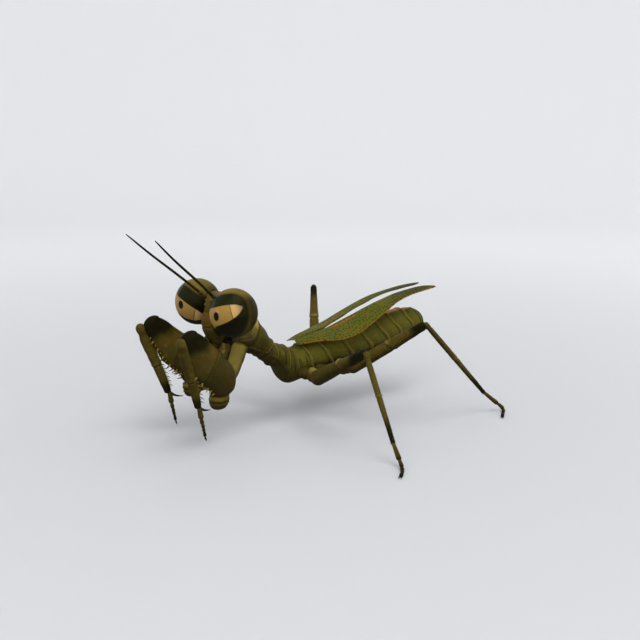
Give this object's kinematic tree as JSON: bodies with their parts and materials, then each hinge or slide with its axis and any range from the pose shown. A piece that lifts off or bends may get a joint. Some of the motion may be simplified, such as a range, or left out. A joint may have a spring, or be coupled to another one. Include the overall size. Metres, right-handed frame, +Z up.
{
  "type": "praying mantis",
  "caption": "Praying mantis standing with its spined grasping forelegs folded and its wings at rest over the abdomen.",
  "frame": {"origin": "on the floor under the middle of the box that holds the whole insect", "axes": "-Y the way the mantis faces, +X its left side, +Z up"},
  "size_m": [0.1018, 0.0988, 0.0555],
  "materials": {
    "shell": "satin cuticle, olive brown",
    "belly": "satin cuticle, olive green with paler ring edges",
    "leg": "semi-gloss cuticle, brown olive, darker at the knees",
    "eye": "glossy compound eye",
    "wing": "leathery fore wing with raised veins",
    "membrane": "soft skin between plates",
    "feeler": "fine dark cuticle"
  },
  "bodies": {
    "root": {"abdomen_1": "belly", "abdomen_2": "belly", "abdomen_3": "belly", "abdomen_4": "belly", "abdomen_5": "belly", "abdomen_6": "belly", "abdomen_7": "belly", "abdomen_8": "belly", "antenna_left": "feeler", "antenna_right": "feeler", "cercus_left": "feeler", "cercus_right": "feeler", "eye_left": "eye", "eye_right": "eye", "fore_coxa_left": "leg", "fore_coxa_right": "leg", "fore_femur_left": "leg", "fore_femur_right": "leg", "fore_tarsus_left": "leg", "fore_tarsus_right": "leg", "fore_tibia_left": "leg", "fore_tibia_right": "leg", "fore_trochanter_left": "leg", "fore_trochanter_right": "leg", "forewing_left": "wing", "forewing_right": "wing", "head": "shell", "hind_coxa_left": "leg", "hind_coxa_right": "leg", "hind_femur_left": "leg", "hind_femur_right": "leg", "hind_tarsus_left": "leg", "hind_tarsus_right": "leg", "hind_tibia_left": "leg", "hind_tibia_right": "leg", "hindwing_left": "wing", "hindwing_right": "wing", "labrum": "shell", "mandible_left": "shell", "mandible_right": "shell", "mesothorax": "shell", "metathorax": "shell", "mid_coxa_left": "leg", "mid_coxa_right": "leg", "mid_femur_left": "leg", "mid_femur_right": "leg", "mid_tarsus_left": "leg", "mid_tarsus_right": "leg", "mid_tibia_left": "leg", "mid_tibia_right": "leg", "neck": "membrane", "palp_left": "feeler", "palp_right": "feeler", "pronotum": "shell", "prothorax": "membrane"}
  },
  "joints": []
}
